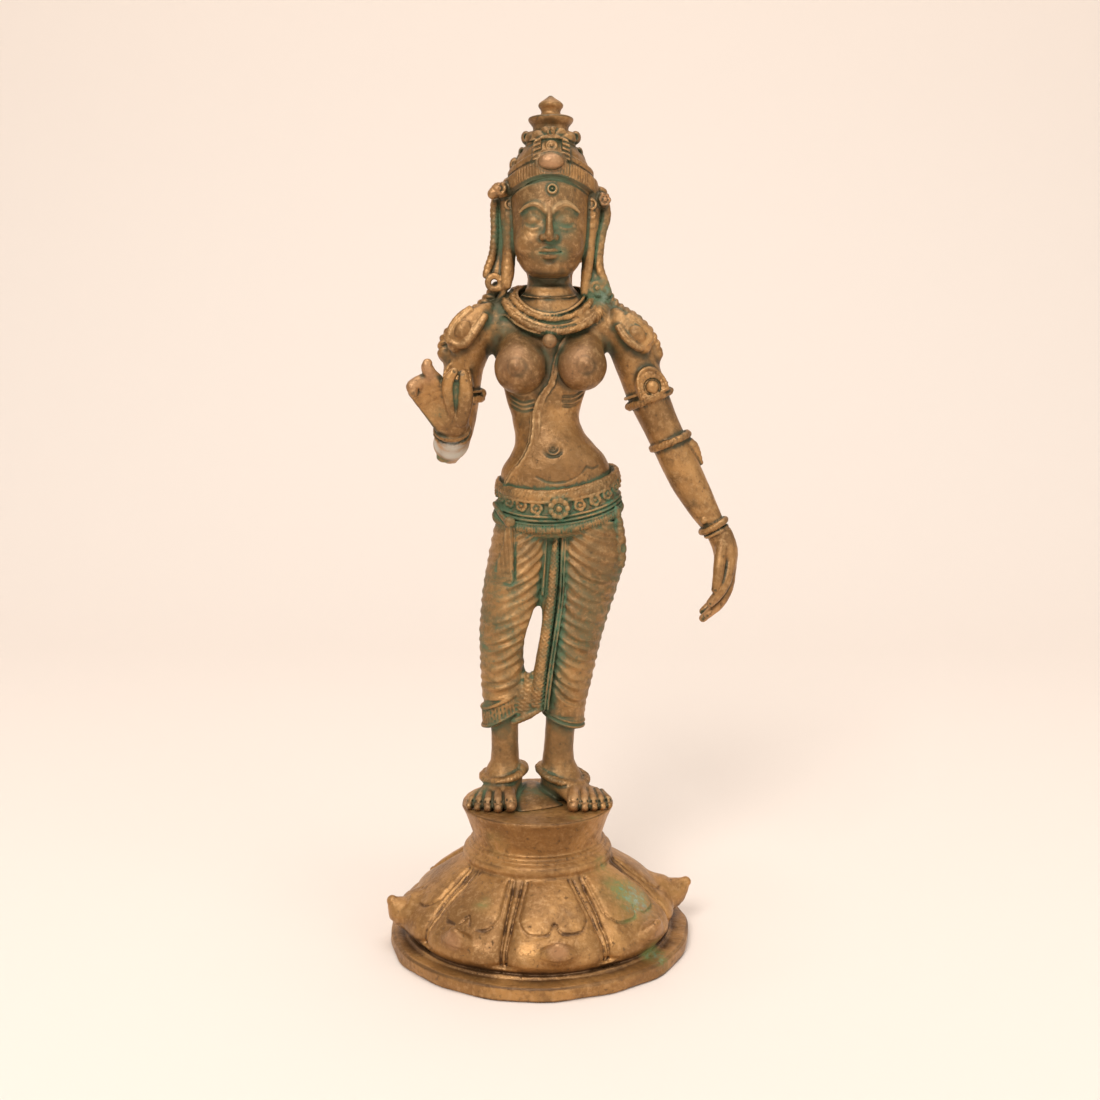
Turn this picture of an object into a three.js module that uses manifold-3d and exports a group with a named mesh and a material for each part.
// A cast bronze figure of a standing South Indian goddess on a round lotus plinth.
// Two castings: the figure, from her soles to the tip of her tiered crown, and the
// plinth that she stands on. Millimetres, +Z up, the front facing -Y, and the origin
// at the middle of the plinth's underside. "Left" and "right" are as the viewer sees them.
import * as THREE from 'three';
import { LoftGeometry } from 'three/addons/geometries/LoftGeometry.js';
import { mergeVertices } from 'three/addons/utils/BufferGeometryUtils.js';
import Module from 'manifold-3d';

// Plinth sizes
const PLATE_RADIUS = 51.2;
const PLATE_THICKNESS = 4.8;
const PLATE_CHAMFER = 0.6;
const LOTUS_FOOT_RADIUS = 42.5;
const LOTUS_BELLY_RADIUS = 46;
const LOTUS_HEIGHT = 24.4; // from the plate to the ring at the drum's foot
const LOTUS_SHIFT = -0.6; // the casting's upper part sits a little left of the plate's middle
// The angles of the eight valleys between petals, in degrees from her front: cast by hand, so uneven
const VALLEYS = [-54, -13.5, 30, 77, 122, 166, 210, 256];
const VALLEY_DEPTH = 2.2;
const HORN_REACH = 6.6; // of the upturned tip of a petal
const HORN_ROOT = 3; // how far a horn is sunk in its petal
const HORN_PROFILE = [
	// share of the reach; then the middle's height above the plate, half the width and half the height
	[0, 6, 4.8, 5], [0.25, 6.6, 4.2, 4.6], [0.65, 8.2, 3, 3], [1, 9.8, 1.3, 1.3],
];
// What is left of each petal's horn, beginning with the petal in front and a little left
const HORN_WEAR = [0.7, 0.65, 0.8, 1.15, 0.8, 0.8, 0.4, 1];
const RING_RADIUS = 25.4;
const RING_HEIGHT = 4.6;
const RING_ROUNDING = 1.2;
const RING_ROOT = 1; // how far the ring is sunk in the lotus
const DRUM_STEP = 1.8; // the small moulding at the drum's foot
const DRUM_STEP_REACH = 1.6;
const DRUM_FOOT_RADIUS = 21.7;
const DRUM_TOP_RADIUS = 25.7;
const DRUM_HEIGHT = 14.2; // with the moulding
const DRUM_EDGE = 0.5;

// Figure size: all of her measures are shares of her height
const FIGURE_HEIGHT = 232;
const FIGURE_SHARES = 232;

// How many flat facets go round each kind of body
const FACETS = {
	torso: 13, head: 11, crown: 10, hair: 7, breast: 8, leg: 7, arm: 7, shin: 6, palm: 6, strip: 5, boss: 5,
	finger: 5, strand: 4, bead: 4, cord: 4, plate: 32, drum: 24, horn: 5,
};

const BRONZE = { color: 0x8f6a3a, roughness: 0.42, metalness: 0.9 };

const PLINTH_HEIGHT = PLATE_THICKNESS + LOTUS_HEIGHT + RING_HEIGHT + DRUM_HEIGHT;
const SHARE = FIGURE_HEIGHT / FIGURE_SHARES;
const TURN = Math.PI * 2;
const FRONT = -Math.PI / 2; // the angle of the front, -Y, round an upright axis
const MERGE_DISTANCE = 1e-4;

const wasm = await Module();
wasm.setup();

// Solids

// A closed three.js geometry as a solid, without the slivers that a closing seam leaves
function solid(geometry) {
	const bare = new THREE.BufferGeometry();
	bare.setAttribute('position', geometry.getAttribute('position'));
	bare.setIndex(geometry.index);
	const welded = mergeVertices(bare, MERGE_DISTANCE);
	const corners = welded.index.array;
	const kept = [];
	for (let i = 0; i < corners.length; i += 3) {
		const [a, b, c] = corners.slice(i, i + 3);
		if (a !== b && b !== c && c !== a) kept.push(a, b, c);
	}
	const points = welded.getAttribute('position').array;
	const build = (triangles) => new wasm.Manifold(new wasm.Mesh({
		numProp: 3, vertProperties: points, triVerts: new Uint32Array(triangles),
	}));
	const made = build(kept);
	return made.volume() >= 0 ? made : build(kept.reverse());
}

function join(solids) {
	return solids.reduce((whole, next) => whole.add(next));
}

function meshOf(made, name) {
	const { vertProperties, triVerts } = made.getMesh();
	const geometry = new THREE.BufferGeometry();
	geometry.setAttribute('position', new THREE.BufferAttribute(new Float32Array(vertProperties), 3));
	geometry.setIndex(new THREE.BufferAttribute(new Uint32Array(triVerts), 1));
	geometry.computeVertexNormals();
	const mesh = new THREE.Mesh(geometry, new THREE.MeshStandardMaterial(BRONZE));
	mesh.name = name;
	return mesh;
}

// Lofts. A station is [x, y, z, a, b]: the middle of a section and its half width and
// half depth, in shares of the figure's height.

function share(x, y, z) {
	return new THREE.Vector3(x, y, z).multiplyScalar(SHARE);
}

// The station at height z of a table whose heights run one way
function between(table, z) {
	let i = 1;
	while (i < table.length - 1 && (table[i][2] - z) * (table[0][2] - z) > 0) i += 1;
	const [low, high] = [table[i - 1], table[i]];
	const t = (z - low[2]) / (high[2] - low[2]);
	return low.map((value, k) => value + (high[k] - value) * t);
}

// A body of level sections, such as the torso. The optional shape(angle, row) gives
// [scale, lift] for a point of a section, such as the ridges of drapery.
function column(stations, sides, shape = () => [1, 0]) {
	const goesDown = stations[stations.length - 1][2] < stations[0][2];
	const sections = stations.map(([x, y, z, a, b], row) => {
		const ring = [];
		for (let i = 0; i < sides; i += 1) {
			const angle = i / sides * TURN;
			const [scale, lift] = shape(angle, row);
			ring.push(share(x + Math.cos(angle) * a * scale, y + Math.sin(angle) * b * scale, z + lift));
		}
		return goesDown ? ring.reverse() : ring;
	});
	return solid(new LoftGeometry(sections, { capStart: true, capEnd: true }));
}

// A body whose sections stand square to its own line, such as an arm or a finger.
// up is the direction of the section's half depth b.
function limb(stations, sides, up = [0, 1, 0], closed = false) {
	const middles = stations.map(([x, y, z]) => new THREE.Vector3(x, y, z));
	const last = middles.length - 1;
	const sections = stations.map(([, , , a, b], i) => {
		const before = middles[closed ? (i + last) % (last + 1) : Math.max(i - 1, 0)];
		const after = middles[closed ? (i + 1) % (last + 1) : Math.min(i + 1, last)];
		const along = after.clone().sub(before).normalize();
		const wide = new THREE.Vector3().crossVectors(new THREE.Vector3(...up), along).normalize();
		const deep = new THREE.Vector3().crossVectors(along, wide);
		const ring = [];
		for (let k = 0; k < sides; k += 1) {
			const angle = k / sides * TURN;
			const point = middles[i].clone()
				.addScaledVector(wide, Math.cos(angle) * a)
				.addScaledVector(deep, Math.sin(angle) * b);
			ring.push(point.multiplyScalar(SHARE));
		}
		return ring;
	});
	if (closed) sections.push(sections[0]);
	return solid(new LoftGeometry(sections, { capStart: !closed, capEnd: !closed }));
}

// A ball stretched by its three radii
function egg([x, y, z], [rx, ry, rz], sides) {
	const geometry = new THREE.SphereGeometry(1, sides, Math.round(sides * 0.6));
	geometry.rotateX(Math.PI / 2);
	geometry.scale(rx * SHARE, ry * SHARE, rz * SHARE);
	geometry.translate(x * SHARE, y * SHARE, z * SHARE);
	return solid(geometry);
}

// How far round to the back an angle is, from 0 in front to 1 behind, level at both
function rearward(angle) {
	return 1 - (1 - (1 + Math.sin(angle)) / 2) ** 2;
}

// A ring round the body: level radii a and b, higher behind than in front.
function band({ x, y, a, b, front, back, tilt = 0, radius, count = 18 }) {
	const stations = [];
	for (let i = 0; i < count; i += 1) {
		const angle = FRONT + i / count * TURN;
		stations.push([
			x + Math.cos(angle) * a,
			y + Math.sin(angle) * b,
			front + (back - front) * rearward(angle) + tilt * Math.cos(angle),
			radius, radius,
		]);
	}
	return limb(stations, FACETS.cord, [0, 0, 1], true);
}

// Legs, the wrapped skirt cloth and the feet

const LEGS = {
	left: {
		cloth: [
			[-4.2, 0.4, 94, 10.2, 10.6], [-6.4, 0, 84, 10.4, 10.8], [-8.7, -0.4, 72, 10.2, 10], [-9.8, -0.8, 64, 9.8, 9.2],
			[-11.8, -1.2, 56, 8.2, 8.2], [-12.4, -0.6, 49, 7.4, 7.6], [-12, 0.4, 41, 7.5, 7.6], [-12, 1.2, 34, 7.2, 7.4],
			[-12, 2, 27, 6.3, 6.6],
		],
		shin: [
			[-11.9, 2.4, 30, 4.8, 4.8], [-11.7, 3.6, 19, 4.6, 4.6], [-11.8, 4.8, 9.6, 4.8, 5.2], [-12, 5, 8.8, 6.6, 7.2],
			[-12.1, 5.2, 6.4, 7.2, 7.4], [-12.2, 5.4, 5.2, 5.4, 6.2], [-12.2, 5.6, 0, 5.6, 6.8],
		],
		inner: 0,
		lift: 9,
		sweep: 3,
		foot: { heel: [-11.6, 11], ball: [-15, -5], toes: [-15.8, -10], width: 9.2, across: [1, -0.2], toe: 3.4 },
	},
	right: {
		cloth: [
			[15.9, 0.4, 94, 11.2, 10.6], [16.6, 0.2, 84, 11.8, 10.8], [15, 0.1, 72, 10.6, 10], [13.4, 0, 64, 9.6, 9.4],
			[11.9, 0, 56, 8.9, 8.6], [10.9, 0.3, 49, 8.3, 8], [9.6, 1, 41, 7.8, 7.8], [8.7, 1.8, 34, 7.1, 7.4],
			[8, 2.6, 26, 6.1, 6.6],
		],
		shin: [
			[7.6, 3.2, 30, 5.2, 5], [6.7, 4.4, 19, 5, 4.8], [6.3, 5.4, 9.4, 5.8, 5.4], [7.2, 5.6, 8.4, 8, 7.6],
			[7.6, 5.8, 5.8, 8.6, 7.8], [6.8, 6, 4.6, 6.4, 6.4], [6.4, 6.2, 0, 6.4, 7],
		],
		inner: Math.PI,
		lift: 12,
		sweep: 1.6,
		foot: { heel: [4.4, 11.6], ball: [13.4, -5], toes: [16, -9.6], width: 8.8, across: [0.95, 0.2], toe: 3.4 },
	},
};
const FOLDS = 18; // ridges of drapery on each leg
const FOLD_DEPTH = 0.055; // share of the leg's own radius
const FOLD_FLATTENING = 0.6; // how much of their climb the folds lose towards the hem

// The cloth's ridges run level round the outside of the leg and climb towards the groin.
function drapedLeg({ cloth, inner, lift, sweep }) {
	const top = cloth[0][2];
	const hem = cloth[cloth.length - 1][2];
	const stations = [];
	for (let i = 0; i <= FOLDS * 2; i += 1) {
		stations.push(between(cloth, top + (hem - top) * i / (FOLDS * 2)));
	}
	return column(stations, FACETS.leg, (angle, row) => {
		const turned = (1 + Math.cos(angle - inner)) / 2;
		const low = row / (FOLDS * 2);
		const climb = lift * Math.sqrt(Math.sin(Math.PI * low)) * (1 - low * FOLD_FLATTENING);
		return [1 + FOLD_DEPTH * (row % 2 ? 1 : -1), climb * turned ** sweep];
	});
}

const TOES = 5;
const TOE_RADIUS = 1.4;
const BIG_TOE_RADIUS = 1.8;

// A foot from heel to toes, with a flat sole; across is the direction of its width
function foot({ heel, ball, toes, width, across, toe }) {
	const along = (t) => [heel[0] + (ball[0] - heel[0]) * t, heel[1] + (ball[1] - heel[1]) * t];
	// where the section's middle is, its half width and its height
	const stations = [
		[heel, 3.6, 4.2], [along(0.33), 5.2, 6.6], [along(0.67), 6.6, 5.6], [ball, width, 3.6], [toes, width, 2.6],
	];
	// the section's outline: shares of the half width and of the height
	const outline = [[-1, 0], [1, 0], [1.06, 0.4], [0.7, 0.85], [0, 1], [-0.7, 0.85], [-1.06, 0.4]];
	const sections = stations.map(([[x, y], half, height]) => outline.map(([side, up]) => (
		share(x + across[0] * side * half, y + across[1] * side * half, up * height)
	)));
	const parts = [solid(new LoftGeometry(sections, { capStart: true, capEnd: true }))];
	for (let i = 0; i < TOES; i += 1) parts.push(toeOf(i, { heel, ball, toes, width, across, toe }));
	return join(parts);
}

function toeOf(i, { heel, ball, toes, width, across, toe }) {
	const place = (i / (TOES - 1) * 2 - 1) * (1 - 1 / TOES);
	const inward = heel[0] < 0 ? i : TOES - 1 - i; // the big toe is the inner one
	const radius = inward === TOES - 1 ? BIG_TOE_RADIUS : TOE_RADIUS;
	const length = Math.hypot(toes[0] - ball[0], toes[1] - ball[1]);
	const ahead = [(toes[0] - ball[0]) / length, (toes[1] - ball[1]) / length];
	const root = [toes[0] + across[0] * place * width, toes[1] + across[1] * place * width];
	const at = (t, r) => [root[0] + ahead[0] * t, root[1] + ahead[1] * t, r, r, r];
	const reach = toe + inward * 0.3;
	return limb([at(-2, radius), at(reach * 0.7, radius), at(reach, radius * 0.7)], FACETS.finger, [0, 0, 1]);
}

function leg(side) {
	return join([drapedLeg(side), column(side.shin, FACETS.shin), foot(side.foot)]);
}

// The sash that hangs between the legs and joins the inner edge of the left hem
function sash() {
	const strip = [
		[4.2, -5, 92, 3.8, 3.4], [3.6, -5, 80, 3.6, 3.4], [3, -5, 68, 3, 3.4], [1.9, -5, 56, 2.7, 3.4],
		[0.6, -5, 45, 2.9, 3.4], [-0.3, -5, 36, 3.2, 3.4],
	];
	const web = [[-2.8, -3, 46, 2.4, 2.4], [-3.4, -2.8, 38, 4.2, 2.8], [-5.4, -2.4, 31.6, 4.4, 2.8]];
	return join([limb(strip, FACETS.strip), limb(web, FACETS.strip)]);
}

// The pleated cuff at the foot of the left leg's cloth, higher on its inner side
const CUFF = [
	[-11.8, 1.4, 34.5, 7.3, 7.5], [-11.8, 1.6, 33, 7, 7.2], [-11.8, 1.9, 27, 7.1, 7.3], [-11.9, 2.1, 25.2, 6, 6.2],
];
const CUFF_PLEATS = 8;
const CUFF_PLEAT_DEPTH = 0.035;
const CUFF_RISE = 3.2;

function cuff() {
	return column(CUFF, CUFF_PLEATS * 2, (angle, row) => {
		const ridge = Math.round(angle / TURN * CUFF_PLEATS * 2) % 2 ? CUFF_PLEAT_DEPTH : -CUFF_PLEAT_DEPTH;
		const pleated = row === 1 || row === 2;
		return [1 + (pleated ? ridge : 0), CUFF_RISE * Math.max(Math.cos(angle), 0) ** 2];
	});
}

// Torso, breasts, sacred thread and belts

const TORSO = [
	// the last two values are how much higher the section is at her back and at her left hip
	[5.6, 1, 80, 8, 6.4, 0, 0], [6.2, 0.4, 90.6, 20.4, 12.2, 4, 1], [6.3, 0.4, 91.2, 21.8, 13.4, 4, 1],
	[6.3, 0.4, 93.8, 22, 13.6, 5, 1], [6.3, 0.4, 94.8, 20.6, 12.4, 5, 1], [6.3, 0.4, 95.8, 21.7, 13.2, 5, 1],
	[6.3, 0.4, 97.4, 21.7, 13.2, 5.5, 1], [6.3, 0.4, 98.2, 20.4, 12.3, 5.5, 1], [6, 0.3, 102.6, 19.7, 12, 6, 1],
	[5.9, 0.2, 103.2, 20.4, 13.2, 6, 1], [5.7, 0.1, 106, 19.8, 13, 6, 1], [5.6, 0, 107.6, 18.6, 12, 5, 1],
	[5.6, -0.2, 112, 18, 11.7, 2, 0.5], [6, -0.9, 117, 15.6, 10.6, 0, 0], [5, -1, 121, 13, 9.6, 0, 0],
	[3.3, -0.5, 125, 11.4, 8.8, 0, 0], [2.2, 0, 129, 11, 8.4, 0, 0], [1.8, 0.3, 135, 12.4, 8.4, 0, 0],
	[2.6, 0.5, 143, 15, 8.8, 0, 0], [3.4, 0.8, 151, 18.4, 8.8, 0, 0], [3.9, 1.2, 158.5, 20.5, 7.6, 0, 0],
	[4, 1.6, 163, 17, 6.6, 0, 0], [3.8, 1.6, 166, 10.5, 6.4, 0, 0], [3.6, 1.4, 168.5, 7.9, 6.8, 0, 0],
	[3.3, 1.2, 171, 7.1, 6.6, 0, 0], [3.2, 0.8, 178, 6.9, 6.4, 0, 0],
];
const BREASTS = [[-6, -8.4, 145.6], [14, -8.4, 146.2]];
const THREAD = [
	[17.4, -5.4, 160.4], [12.4, -9.2, 155.4], [8, -9, 150], [6.2, -8.9, 144], [3.8, -8.4, 138.6],
	[0.6, -8.2, 131.8], [-1.6, -8.8, 124.4], [-3.6, -10.2, 117.6], [-7, -10.8, 111.4],
];
const BELT_BOSS = [6.5, -12.6, 100.6];
const ROSETTE_ANGLES = [-55, -37, 22, 40, 58]; // degrees from the front
const ROSETTE_RING = { x: 6.2, y: 0.4, a: 20.2, b: 12.2, front: 100.4, back: 106.2 };

function torso() {
	const tilted = (angle, row) => [1, TORSO[row][5] * rearward(angle) + TORSO[row][6] * Math.cos(angle)];
	const parts = [column(TORSO, FACETS.torso, tilted)];
	for (const [x, y, z] of BREASTS) {
		parts.push(egg([x, y, z], [8.4, 7.7, 8.4], FACETS.breast));
		parts.push(egg([x + 0.2, y - 7.4, z + 0.2], [1.7, 1.5, 1.7], FACETS.bead));
	}
	parts.push(limb(THREAD.map((p) => [...p, 1.3, 1.3]), FACETS.cord));
	parts.push(egg(BELT_BOSS, [3.3, 2, 3.3], FACETS.shin));
	parts.push(...ROSETTE_ANGLES.map(rosette));
	return join(parts);
}

function rosette(degrees) {
	const { x, y, a, b, front, back } = ROSETTE_RING;
	const angle = FRONT + degrees / 360 * TURN;
	const height = front + (back - front) * rearward(angle) + Math.cos(angle);
	return egg([x + Math.cos(angle) * a, y + Math.sin(angle) * b, height], [2.1, 2, 2.1], FACETS.bead);
}

const TASSEL_STEPS = 4;
const TASSELS = [
	{ x: -9.4, y: -9.2, top: 96.4, bottom: 76, spread: -2.2 },
	{ x: 24.8, y: -4, top: 99, bottom: 81, spread: 0.4 },
];

// A tassel end of the belt, hanging flat against a hip: it widens downwards in steps
function tassel({ x, y, top, bottom, spread }) {
	const stations = [];
	for (let i = 0; i <= TASSEL_STEPS; i += 1) {
		const t = i / TASSEL_STEPS;
		stations.push([x + spread * t, y, top + (bottom - top) * t, (1.5 + 1.4 * t) * (i % 2 ? 1.12 : 1), 1.7]);
	}
	return limb(stations, FACETS.strip);
}

// Necklaces, epaulettes and the locks over the shoulders

const NECKLACES = [
	{ x: 4.4, y: 0.2, a: 13.6, b: 9.8, front: 160.4, back: 169.6, tilt: 0, radius: 1.7 },
	{ x: 4.6, y: -0.6, a: 17, b: 10, front: 156, back: 166.4, tilt: -0.4, radius: 1.9 },
];
const PENDANT = [3.8, -11.6, 153.4];
const EPAULETTE_WIDTHS = [1.4, 3.2, 4.4, 4, 1.8];
const EPAULETTE_THICKNESS = 2.4;
const LOCK_RADIUS = 2.4;
const EPAULETTES = [
	[[-13.6, -3.4, 166.6], [-18.4, -3.8, 164], [-23, -4.4, 159.8], [-26.4, -4.6, 155.8], [-28, -4.4, 152.6]],
	[[25, -3.4, 163.4], [27.8, -4.2, 160.8], [30.8, -4.8, 157.6], [33.4, -5, 154.6], [34.8, -4.8, 151.8]],
];
const LOCKS = [
	[[-13.6, 3, 172.4], [-19, 3, 165.8], [-24.8, 3, 161.8], [-29.2, 3, 157.6], [-31.4, 3, 153.6], [-31.8, 3, 149.6]],
	[[21.2, 3, 170.4], [25.6, 3, 165.2], [31.6, 3, 161.2], [35.8, 3, 157.4], [38.4, 3, 152.8], [39.4, 3, 149.4]],
];

// A lock of hair, knotted along its length and narrower at its end
function strand(points, radius) {
	return limb(points.map((p, i) => {
		const r = radius * (i % 2 ? 1.1 : 0.95) * (i === points.length - 1 ? 0.7 : 1);
		return [...p, r, r];
	}), FACETS.strand);
}

function epaulette(leaf) {
	return limb(leaf.map((p, i) => [...p, EPAULETTE_WIDTHS[i], EPAULETTE_THICKNESS]), FACETS.palm);
}

function shoulders() {
	const parts = NECKLACES.map((ring) => band(ring));
	parts.push(egg(PENDANT, [2.1, 1.8, 2.3], FACETS.boss));
	parts.push(...EPAULETTES.map(epaulette));
	parts.push(...LOCKS.map((lock) => strand(lock, LOCK_RADIUS)));
	return join(parts);
}

// Arms and hands

const ARMS = {
	// each from the shoulder down; the wider stations are the armband and the bracelet
	left: [
		[-16, 2, 159, 6.5, 6.5], [-21.4, 2.4, 155, 7.2, 6.8], [-24.6, 3.2, 147, 6.6, 6.6], [-25.4, 4.2, 139, 6.2, 6.2],
		[-25.5, 4.3, 138.6, 7.4, 7.4], [-25.8, 4.6, 136, 7.4, 7.4], [-25.9, 4.8, 135.6, 6, 6.2], [-27.2, 6, 128, 5.8, 6],
		[-28.4, 6.4, 120.6, 5.4, 5.8], [-30.4, 4.8, 115.4, 3.4, 4],
	],
	leftForearm: [
		[-29.4, 7, 120.2, 5, 5], [-29, -1, 120.8, 5.8, 5.4], [-27.8, -10, 122.6, 5.8, 5], [-27, -17.8, 125.4, 5, 4.2],
		[-27, -18.1, 125.6, 6, 5.2], [-26.8, -20.4, 126.9, 6, 5], [-26.8, -20.7, 127.1, 4.8, 3.8],
		[-26.8, -23, 129, 5.2, 3.4],
	],
	right: [
		[19, 2, 159.5, 6.5, 6.5], [27.4, 2.2, 156.6, 7.2, 6.8], [31.2, 2.4, 149, 7, 6.8], [35, 2.2, 138.8, 6.8, 6.6],
		[35.2, 2.2, 138.2, 8, 7.8], [36.5, 2.2, 135, 8, 7.8], [36.8, 2.2, 134.4, 6.5, 6.4], [40.6, 2.2, 126, 5.9, 6],
		[44.8, 1.6, 117.4, 6, 5.9], [48.8, 0.6, 109.4, 5.8, 5.5], [53.4, -0.4, 101, 5, 4.8], [56.6, -1.1, 95.8, 4.1, 3.9],
		[56.8, -1.1, 95.5, 5.6, 5.2], [58.2, -1.3, 93, 5.6, 5.2], [58.4, -1.3, 92.7, 4, 3.4], [60.2, -1.4, 90.4, 3.7, 3],
	],
};
const ELBOW_BAND = { x: 43.2, y: 2, a: 6.8, b: 6.6, front: 121.8, back: 121.8, radius: 1.5, count: 10 };
const ELBOW_FLAPS = [
	[[47.6, 2, 122.4, 1.6, 3], [50.8, 2, 119.4, 2.2, 2.6], [53.6, 2, 114.6, 0.9, 0.8]],
	[[-27.6, 9.6, 121, 2.6, 1.8], [-28.6, 10.6, 118, 3, 1.6], [-29, 9.8, 114.8, 1.4, 0.9]],
];
const FINGER_RADII = [2.2, 2, 1.8, 1.2]; // from the knuckle to the tip
const RIGHT_HAND = {
	palm: [[60.2, -1.4, 90.4, 4, 3.4], [61.8, -1, 86, 4.2, 4.8], [62, -0.4, 80.6, 3.6, 4.8]],
	// the forefinger crosses in front, the other fingers lie together, and the thumb comes last
	fingers: [
		fingerOf([[63, -3.6, 82], [61.4, -5.4, 76], [58.8, -6.2, 71.6], [56.6, -6.2, 69]]),
		[[63.2, 0.6, 82, 2.4, 4.2], [62.8, 0.2, 74.4, 2.4, 4.2], [59.4, 0, 67.2, 2.2, 3.8], [55, -0.4, 63, 1.2, 2.4]],
		fingerOf([[60.4, -3.8, 87.6], [59.4, -6, 82], [58.8, -7, 77], [58.2, -7.2, 73.4]]),
	],
};
const LEFT_HAND = {
	palm: [
		[-26.9, -22, 128, 5.4, 3.4], [-28, -24, 131.6, 7.6, 3.6], [-29.6, -25.6, 135.6, 9.2, 3.4],
		[-31, -26.4, 139, 7.6, 2.8],
	],
	// three fingers curled over to the left, then the forefinger, which meets the thumb
	fingers: [
		fingerOf([[-31.6, -27, 140], [-33.2, -28.8, 144.4], [-33.4, -31.4, 145.4], [-32.6, -32.4, 142.6]]),
		fingerOf([[-34.4, -26.6, 138.4], [-36.2, -28.4, 141.4], [-36.4, -30.8, 142], [-35.4, -31.8, 139.6]]),
		fingerOf([[-36.4, -26, 136], [-38.4, -27.6, 138.4], [-38.6, -29.8, 138.4], [-37.4, -30.6, 136.4]]),
		fingerOf([[-28, -27.4, 140], [-27.2, -29.4, 144.2], [-26.4, -31.6, 144], [-26.4, -32, 140]]),
		fingerOf([[-23.4, -25, 131.6], [-21.8, -27.4, 136.6], [-22.8, -29.6, 141.4], [-25, -30.8, 143.4]]),
	],
};
const PLAQUES = [
	{ at: [36.4, -4.4, 139.6], lean: 0.36, half: 5.2, tall: 7 },
	{ at: [-26.4, -1.6, 142], lean: -0.05, half: 5, tall: 6.4 },
];
const PLAQUE_DEPTH = 2;

function fingerOf(joints) {
	return joints.map((joint, i) => [...joint, FINGER_RADII[i], FINGER_RADII[i]]);
}

function hand({ palm, fingers }) {
	return join([limb(palm, FACETS.palm), ...fingers.map((finger) => limb(finger, FACETS.finger, [0.1, 1, 0.1]))]);
}

function arms() {
	return join([
		limb(ARMS.left, FACETS.arm), limb(ARMS.leftForearm, FACETS.arm, [0, 0, 1]), limb(ARMS.right, FACETS.arm),
		band(ELBOW_BAND), hand(RIGHT_HAND), hand(LEFT_HAND),
		...PLAQUES.map(plaque),
		...ELBOW_FLAPS.map((flap) => limb(flap, FACETS.strip)),
	]);
}

// An arched plate on the front of an upper arm, with a boss
function plaque({ at: [x, y, z], lean, half, tall }) {
	const arch = new THREE.Shape();
	arch.moveTo(-half, -tall * 0.5);
	arch.lineTo(half, -tall * 0.5);
	arch.quadraticCurveTo(half * 1.1, tall * 0.5, 0, tall);
	arch.quadraticCurveTo(-half * 1.1, tall * 0.5, -half, -tall * 0.5);
	const geometry = new THREE.ExtrudeGeometry(arch, { depth: PLAQUE_DEPTH, bevelEnabled: false, curveSegments: 4 });
	geometry.rotateX(Math.PI / 2);
	geometry.rotateY(lean);
	geometry.scale(SHARE, SHARE, SHARE);
	geometry.translate(x * SHARE, y * SHARE, z * SHARE);
	return join([solid(geometry), egg([x, y - PLAQUE_DEPTH, z], [2, 1.4, 2], FACETS.boss)]);
}

// Head, face, ears and crown

const HEAD = [
	[3.4, -5.4, 174.6, 3.2, 3.2], [3.4, -4.4, 176, 6.2, 6], [3.4, -2.6, 179, 8.8, 9], [3.4, -1.2, 184, 11, 11.4],
	[3.5, -0.4, 190, 12.2, 12.6], [3.5, 0.2, 197, 12.7, 13], [3.5, 0.8, 203, 12.8, 13], [3.5, 1.6, 207, 12.6, 12.6],
];
const CROWN = [
	// half width and height of each moulding, from the head band to the tip
	[13.4, 202.6], [14.6, 204.2], [14.2, 207.4], [13.2, 208.8], [13.2, 210.4], [11.4, 213.2], [9.6, 214.2],
	[10.3, 215.4], [9.6, 217.6], [8.2, 218.2], [9.2, 219.6], [8.4, 221.4], [5.8, 222.4], [7.4, 225.2],
	[3.3, 225.8], [3.1, 227.4], [4, 229.2], [2.2, 231], [0.5, 232],
];
const CROWN_MIDDLE = [3.8, 1.4];
const CROWN_LEAN = 0.04; // back per unit of height
const CROWN_BOSSES = [[[3.8, -10.6, 210.4], [3.8, 3.4, 2.8]], [[3.8, -7.6, 216.6], [3, 2.4, 2.4]]];
const NOSE = [
	[3.4, -12, 194.6, 0.9, 1], [3.4, -13.2, 190, 1.2, 1.6], [3.4, -14, 187.4, 1.9, 1.9], [3.4, -12, 185.8, 2, 1.6],
];
// the lids, then the upper and the lower lip
const FEATURES = [
	[[-1.5, -10.6, 191], [3.3, 2, 1.3]], [[8.3, -10.6, 191], [3.3, 2, 1.3]],
	[[3.4, -11.1, 182.4], [3.6, 2, 0.9]], [[3.4, -10.8, 180.8], [2.7, 1.9, 0.9]],
];
const EARS = [
	// the long lobe of each ear, standing clear of the neck, down to the shoulder
	[
		[-10, 2.4, 204, 3, 4.4], [-10.6, 1.6, 198, 3.4, 4.4], [-10.8, 1, 190, 3, 4.2], [-11.6, 0.4, 181, 2.2, 3.4],
		[-12.6, -0.4, 173, 2, 3], [-12.8, -1, 167, 2.4, 2.8],
	],
	[
		[17, 2.4, 204, 3, 4.4], [17.6, 1.6, 198, 3.4, 4.4], [17.6, 1, 190, 3, 4.2], [17.6, 0.4, 181, 2.2, 3.4],
		[17.9, -0.4, 173, 2, 3], [18.4, -1, 167, 2.4, 2.8],
	],
];
const EAR_STRANDS = [
	[[-12.6, 3, 199], [-13.4, 3, 192], [-13.6, 3, 184], [-14.6, 3, 178], [-16, 3, 173.4], [-16.4, 3, 168]],
	[[20, 3, 199], [20.4, 3, 192], [19.4, 3, 184], [19.6, 3, 178], [20.8, 3, 172.6], [22.4, 3, 167.4]],
];
const EAR_STRAND_RADIUS = 1.6;
const EAR_FLOWERS = [[-12.8, 3, 202.4], [19.6, 3, 199.6], [-8.2, 4.6, 210.6]];
const HAIR_BALL = [[3.5, 6, 195], [13, 9.4, 13]];
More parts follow.
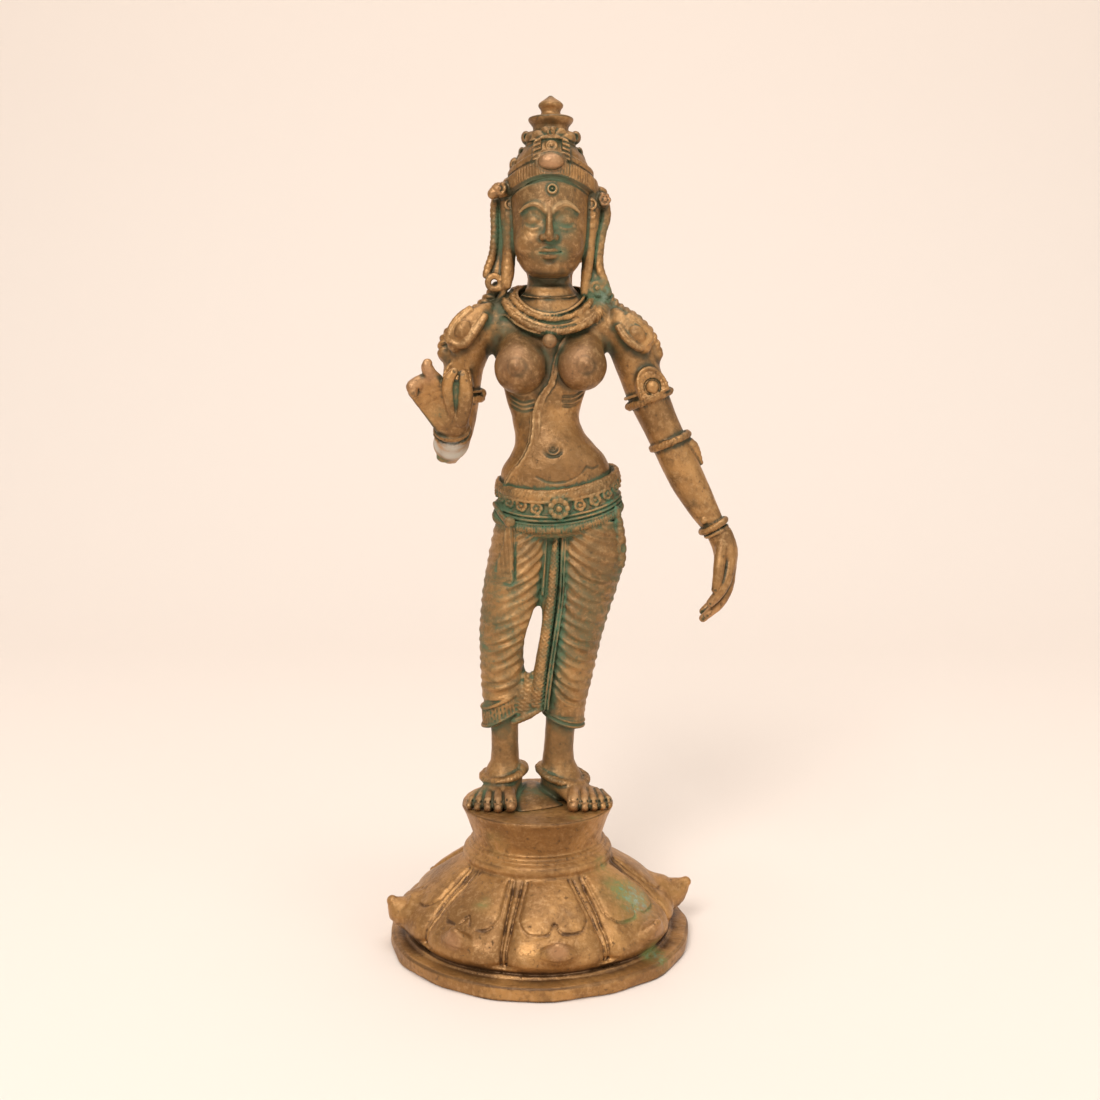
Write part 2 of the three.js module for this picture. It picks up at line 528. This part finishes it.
const BACK_HAIR = [
	[3.5, 8, 198, 13, 5.4], [3.5, 7, 190, 13.4, 5.4], [3.5, 6.4, 183.4, 13.4, 5], [3.5, 6, 180, 9.8, 5],
	[3.5, 5.8, 176, 7.2, 5.4], [3.5, 5.2, 171.6, 7, 6.6], [3.6, 5.2, 168, 9.4, 6.6], [3.6, 5.6, 163.6, 13.4, 5.6],
	[3.6, 6.2, 157, 13.6, 5], [3.6, 7, 150, 11.6, 4], [3.6, 7.4, 144, 8, 2.4],
];

function crown() {
	const mouldings = CROWN.map(([half, z]) => {
		const back = CROWN_MIDDLE[1] + (z - CROWN[0][1]) * CROWN_LEAN;
		return [CROWN_MIDDLE[0], back, z, half, half];
	});
	return join([column(mouldings, FACETS.crown), ...CROWN_BOSSES.map(([at, radii]) => egg(at, radii, FACETS.boss))]);
}

function head() {
	return join([
		column(HEAD, FACETS.head), limb(NOSE, FACETS.strip), crown(), egg(...HAIR_BALL, FACETS.hair),
		...FEATURES.map(([at, radii]) => egg(at, radii, FACETS.boss)),
		...EARS.map((ear) => limb(ear, FACETS.strip)),
		...EAR_STRANDS.map((points) => strand(points, EAR_STRAND_RADIUS)),
		...EAR_FLOWERS.map((at) => egg(at, [2.4, 2.6, 2.4], FACETS.boss)),
	]);
}

function figure() {
	const mesh = meshOf(join([
		leg(LEGS.left), leg(LEGS.right), sash(), cuff(), torso(), ...TASSELS.map(tassel),
		shoulders(), arms(), head(), limb(BACK_HAIR, FACETS.hair),
	]), 'parvati_figure');
	mesh.position.z = PLINTH_HEIGHT;
	return mesh;
}

// Plinth

function lathe(profile, segments) {
	const points = profile.map(([r, z]) => new THREE.Vector2(r, z));
	const geometry = new THREE.LatheGeometry(points, segments);
	geometry.rotateX(Math.PI / 2);
	return solid(geometry);
}

// The middle of a petal and half its width, as angles round the plinth
function petalSpan(petal) {
	const start = VALLEYS[petal];
	const end = petal + 1 < VALLEYS.length ? VALLEYS[petal + 1] : VALLEYS[0] + 360;
	return { middle: FRONT + (start + end) / 720 * TURN, half: (end - start) / 720 * TURN };
}

// The lotus: one loft of level rings, with eight swelling petals round it and a narrow
// rib between two grooves in each valley.
function lotus() {
	const spread = LOTUS_BELLY_RADIUS - RING_RADIUS;
	// the petals' profile: shares of the spread beyond the ring's radius, and of the height
	const shoulder = [[1, 0.2], [0.95, 0.36], [0.76, 0.52], [0.6, 0.66], [0.42, 0.78], [0.2, 0.9], [0.02, 1]];
	const profile = [
		[LOTUS_FOOT_RADIUS, -PLATE_CHAMFER],
		...shoulder.map(([out, up]) => [RING_RADIUS + spread * out, LOTUS_HEIGHT * up]),
	];
	// across a petal, from one valley to the next: shares of its half width and of the valley's depth
	const across = [[-1, 0.25], [-0.87, 1], [-0.7, 0.08], [0, 0], [0.7, 0.08], [0.87, 1]];
	const sections = profile.map(([radius, z]) => {
		const ring = [];
		VALLEYS.forEach((_, petal) => {
			const { middle, half } = petalSpan(petal);
			for (const [place, depth] of across) {
				const r = radius - depth * VALLEY_DEPTH * radius / LOTUS_BELLY_RADIUS;
				const angle = middle + place * half;
				ring.push(new THREE.Vector3(Math.cos(angle) * r, Math.sin(angle) * r, PLATE_THICKNESS + z));
			}
		});
		return ring;
	});
	return solid(new LoftGeometry(sections, { capStart: true, capEnd: true }));
}

// The horn at a petal's tip: a wedge with a level top, drawn out from the petal's full height
function horn(petal) {
	const { middle } = petalSpan(petal);
	const out = new THREE.Vector3(Math.cos(middle), Math.sin(middle), 0);
	const side = new THREE.Vector3(-Math.sin(middle), Math.cos(middle), 0);
	const reach = HORN_REACH * HORN_WEAR[petal];
	const sections = HORN_PROFILE.map(([part, height, wide, tall]) => {
		const away = part * reach - (part ? 0 : HORN_ROOT);
		const ring = [];
		for (let i = 0; i < FACETS.horn; i += 1) {
			const turn = TURN / 4 + i / FACETS.horn * TURN;
			ring.push(out.clone().multiplyScalar(LOTUS_BELLY_RADIUS - PLATE_CHAMFER + away)
				.addScaledVector(side, Math.cos(turn) * wide)
				.add(new THREE.Vector3(0, 0, PLATE_THICKNESS + height + Math.sin(turn) * tall)));
		}
		return ring;
	});
	return solid(new LoftGeometry(sections, { capStart: true, capEnd: true }));
}

function plate() {
	return lathe([
		[0, 0], [PLATE_RADIUS, 0], [PLATE_RADIUS, PLATE_THICKNESS - PLATE_CHAMFER],
		[PLATE_RADIUS - PLATE_CHAMFER, PLATE_THICKNESS], [0, PLATE_THICKNESS],
	], FACETS.plate);
}

// The ring above the petals and the flaring drum that carries the figure
function drum() {
	const ringFoot = PLATE_THICKNESS + LOTUS_HEIGHT;
	const stepFoot = ringFoot + RING_HEIGHT;
	return lathe([
		[0, ringFoot - RING_ROOT], [RING_RADIUS - RING_ROUNDING, ringFoot - RING_ROOT],
		[RING_RADIUS, ringFoot + RING_HEIGHT * 0.3], [RING_RADIUS - RING_ROUNDING / 3, ringFoot + RING_HEIGHT * 0.7],
		[DRUM_FOOT_RADIUS + DRUM_STEP_REACH, stepFoot],
		[DRUM_FOOT_RADIUS + DRUM_STEP_REACH, stepFoot + DRUM_STEP * 0.6], [DRUM_FOOT_RADIUS, stepFoot + DRUM_STEP],
		[DRUM_TOP_RADIUS, PLINTH_HEIGHT - DRUM_EDGE], [DRUM_TOP_RADIUS - DRUM_EDGE, PLINTH_HEIGHT], [0, PLINTH_HEIGHT],
	], FACETS.drum);
}

function plinth() {
	const upper = join([lotus(), drum(), ...VALLEYS.map((_, petal) => horn(petal))]);
	return meshOf(plate().add(upper.translate([LOTUS_SHIFT, 0, 0])), 'lotus_plinth');
}

const statue = new THREE.Group();
statue.name = 'parvati_statuette';
statue.add(plinth(), figure());

export default statue;
